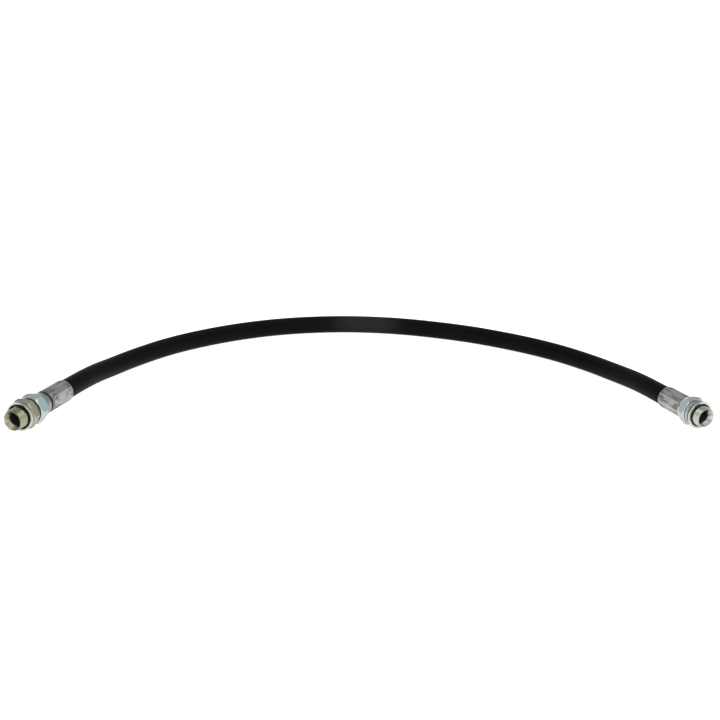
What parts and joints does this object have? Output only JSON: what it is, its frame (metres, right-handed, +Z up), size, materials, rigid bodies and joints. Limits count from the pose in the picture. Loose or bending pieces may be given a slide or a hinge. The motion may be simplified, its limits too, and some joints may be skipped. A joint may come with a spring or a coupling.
{
  "type": "hydraulic hose assembly",
  "caption": "Black rubber hydraulic hose in an open arc, with crimped ferrules at its ends: a swivel nut and screwed adaptor on the left, a fixed male stud on the right, with bonded seals.",
  "frame": {"origin": "on the ground, midway between the two end fittings in X and Y", "axes": "+X from the end with the swivel nut to the end with the fixed stud, +Y towards the bow of the hose, +Z up"},
  "size_m": [0.6926, 0.3609, 0.0286],
  "materials": {
    "cover_rubber": "smooth moulded black rubber, soft sheen",
    "interlayer_rubber": "matt black rubber",
    "tube_rubber": "smooth black rubber",
    "braid_wire": "brass-coated steel wire braid",
    "crimped_steel": "satin zinc-plated steel with crimp marks",
    "yellow_zinc": "yellow-green passivated zinc on machined steel",
    "blue_zinc": "bright bluish zinc on machined steel",
    "clear_zinc": "bright silver zinc on machined steel",
    "seal_zinc": "bright zinc on pressed steel",
    "seal_nitrile": "smooth black nitrile rubber"
  },
  "bodies": {
    "hose": {"hose_cover": "cover_rubber", "outer_braid": "braid_wire", "braid_interlayer": "interlayer_rubber", "inner_braid": "braid_wire", "inner_tube": "tube_rubber", "ferrule_a": "crimped_steel", "insert_a": "yellow_zinc", "ferrule_b": "crimped_steel", "insert_b": "clear_zinc"},
    "swivel_nut": {"swivel_nut": "blue_zinc"},
    "adaptor": {"adaptor": "yellow_zinc"},
    "seal_a": {"seal_ring_a": "seal_zinc", "seal_rubber_a": "seal_nitrile"},
    "seal_b": {"seal_ring_b": "seal_zinc", "seal_rubber_b": "seal_nitrile"}
  },
  "joints": [
    {"name": "nut_spin", "type": "hinge", "parent": "hose", "child": "swivel_nut", "pos_m": [-0.32374, -0.02853, 0.0143], "axis": [0.3256, 0.9455, 0], "range_deg": [0, 1800]},
    {"name": "adaptor_travel", "type": "slide", "parent": "hose", "child": "adaptor", "axis": [-0.3256, -0.9455, 0], "range_m": [0, 0.0091]},
    {"name": "seal_a_slide", "type": "slide", "parent": "adaptor", "child": "seal_a", "axis": [-0.3256, -0.9455, 0], "range_m": [0, 0.009]},
    {"name": "seal_b_slide", "type": "slide", "parent": "hose", "child": "seal_b", "axis": [0.4226, -0.9063, 0], "range_m": [-0.00235, 0.008]}
  ],
  "couplings": [
    {"joint": "adaptor_travel", "follows": "nut_spin", "m_per_rad": 0.00028876}
  ]
}
